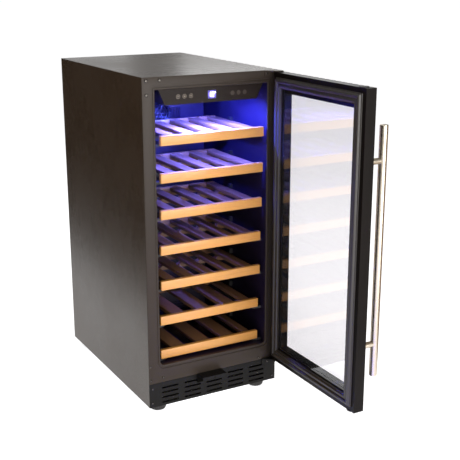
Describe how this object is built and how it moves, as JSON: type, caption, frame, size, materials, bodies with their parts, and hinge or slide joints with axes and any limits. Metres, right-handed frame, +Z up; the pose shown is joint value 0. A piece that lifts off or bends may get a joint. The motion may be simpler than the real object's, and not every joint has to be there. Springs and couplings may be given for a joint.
{
  "type": "under-counter wine cooler",
  "caption": "Narrow free-standing wine cooler with a glass door open on its right, a lit interior and sliding beech shelves.",
  "frame": {"origin": "on the floor under the middle of the cabinet front face", "axes": "+Z up, the front faces -Y, +X to the right seen from the front"},
  "size_m": [0.4429, 0.9515, 0.874],
  "materials": {
    "painted_steel": "satin",
    "frame_paint": "satin",
    "liner_plastic": "satin",
    "foam": "matte",
    "black_plastic": "satin",
    "panel_glass": "gloss",
    "display": "gloss",
    "touch_print": "gloss",
    "light_lens": "gloss",
    "beech": "satin",
    "gasket_rubber": "satin",
    "clear_glass": "gloss",
    "door_paint": "satin",
    "stainless": "satin",
    "zinc_steel": "satin",
    "spacer_metal": "satin",
    "coil_metal": "satin",
    "compressor_paint": "gloss",
    "circuit_board": "satin",
    "screw_black": "gloss"
  },
  "bodies": {
    "cabinet": {"side_panel_left": "painted_steel", "side_panel_right": "painted_steel", "top_panel": "painted_steel", "back_panel": "painted_steel", "base_pan": "zinc_steel", "face_frame": "frame_paint", "kick_plate": "frame_paint", "inner_liner": "liner_plastic", "foam_insulation": "foam", "rear_bulkhead": "zinc_steel", "shelf_supports": "black_plastic", "evaporator_cover": "liner_plastic", "fan_guard": "liner_plastic", "evaporator_coil": "coil_metal", "evaporator_fan_motor": "black_plastic", "control_glass": "panel_glass", "control_housing": "black_plastic", "display_window": "display", "touch_pads": "touch_print", "led_strip": "light_lens", "door_keeper": "frame_paint", "cabinet_screws": "screw_black", "hinge_bracket_top": "frame_paint", "hinge_bracket_bottom": "frame_paint", "compressor_mounts": "gasket_rubber", "compressor": "compressor_paint", "condenser_coil": "compressor_paint", "condenser_fan_frame": "black_plastic", "main_board": "circuit_board", "power_inlet": "black_plastic"},
    "door": {"door_frame": "door_paint", "outer_glass": "clear_glass", "inner_glass": "clear_glass", "glass_spacer": "spacer_metal", "door_gasket": "gasket_rubber", "hinge_bushes": "black_plastic", "hinge_hole_plugs": "black_plastic", "handle_bar": "stainless", "handle_standoffs": "stainless", "handle_screws": "zinc_steel"},
    "evaporator_rotor": {"evaporator_fan": "black_plastic"},
    "condenser_rotor": {"condenser_fan": "black_plastic"},
    "shelf_1": {"shelf_1_fascia": "beech", "shelf_1_frame": "beech"},
    "shelf_2": {"shelf_2_fascia": "beech", "shelf_2_frame": "beech"},
    "shelf_3": {"shelf_3_fascia": "beech", "shelf_3_frame": "beech"},
    "shelf_4": {"shelf_4_fascia": "beech", "shelf_4_frame": "beech"},
    "shelf_5": {"shelf_5_fascia": "beech", "shelf_5_frame": "beech"},
    "shelf_6": {"shelf_6_fascia": "beech", "shelf_6_frame": "beech"},
    "shelf_7": {"shelf_7_fascia": "beech", "shelf_7_frame": "beech"},
    "foot_1": {"levelling_foot_1": "black_plastic"},
    "foot_2": {"levelling_foot_2": "black_plastic"},
    "foot_3": {"levelling_foot_3": "black_plastic"},
    "foot_4": {"levelling_foot_4": "black_plastic"}
  },
  "joints": [
    {"name": "door_hinge", "type": "hinge", "parent": "cabinet", "child": "door", "pos_m": [0.18, -0.0195, 0.4805], "axis": [0, 0, 1], "range_deg": [-90, 25]},
    {"name": "evaporator_fan_spin", "type": "hinge", "parent": "cabinet", "child": "evaporator_rotor", "pos_m": [-0.01, 0.315, 0.736], "axis": [0, 1, 0], "continuous": true},
    {"name": "condenser_fan_spin", "type": "hinge", "parent": "cabinet", "child": "condenser_rotor", "pos_m": [0.03, 0.482, 0.092], "axis": [1, 0, 0], "continuous": true},
    {"name": "shelf_1_slide", "type": "slide", "parent": "cabinet", "child": "shelf_1", "axis": [0, -1, 0], "range_m": [-0.024, 0.176]},
    {"name": "shelf_2_slide", "type": "slide", "parent": "cabinet", "child": "shelf_2", "axis": [0, -1, 0], "range_m": [-0.021, 0.179]},
    {"name": "shelf_3_slide", "type": "slide", "parent": "cabinet", "child": "shelf_3", "axis": [0, -1, 0], "range_m": [-0.017, 0.183]},
    {"name": "shelf_4_slide", "type": "slide", "parent": "cabinet", "child": "shelf_4", "axis": [0, -1, 0], "range_m": [-0.012, 0.188]},
    {"name": "shelf_5_slide", "type": "slide", "parent": "cabinet", "child": "shelf_5", "axis": [0, -1, 0], "range_m": [-0.01, 0.19]},
    {"name": "shelf_6_slide", "type": "slide", "parent": "cabinet", "child": "shelf_6", "axis": [0, -1, 0], "range_m": [-0.002, 0.198]},
    {"name": "shelf_7_slide", "type": "slide", "parent": "cabinet", "child": "shelf_7", "axis": [0, -1, 0], "range_m": [0, 0.2]},
    {"name": "foot_1_turn", "type": "hinge", "parent": "cabinet", "child": "foot_1", "pos_m": [-0.15, 0.038, 0.02], "axis": [0, 0, 1], "continuous": true},
    {"name": "foot_2_turn", "type": "hinge", "parent": "cabinet", "child": "foot_2", "pos_m": [0.15, 0.038, 0.02], "axis": [0, 0, 1], "continuous": true},
    {"name": "foot_3_turn", "type": "hinge", "parent": "cabinet", "child": "foot_3", "pos_m": [-0.15, 0.525, 0.02], "axis": [0, 0, 1], "continuous": true},
    {"name": "foot_4_turn", "type": "hinge", "parent": "cabinet", "child": "foot_4", "pos_m": [0.15, 0.525, 0.02], "axis": [0, 0, 1], "continuous": true}
  ]
}
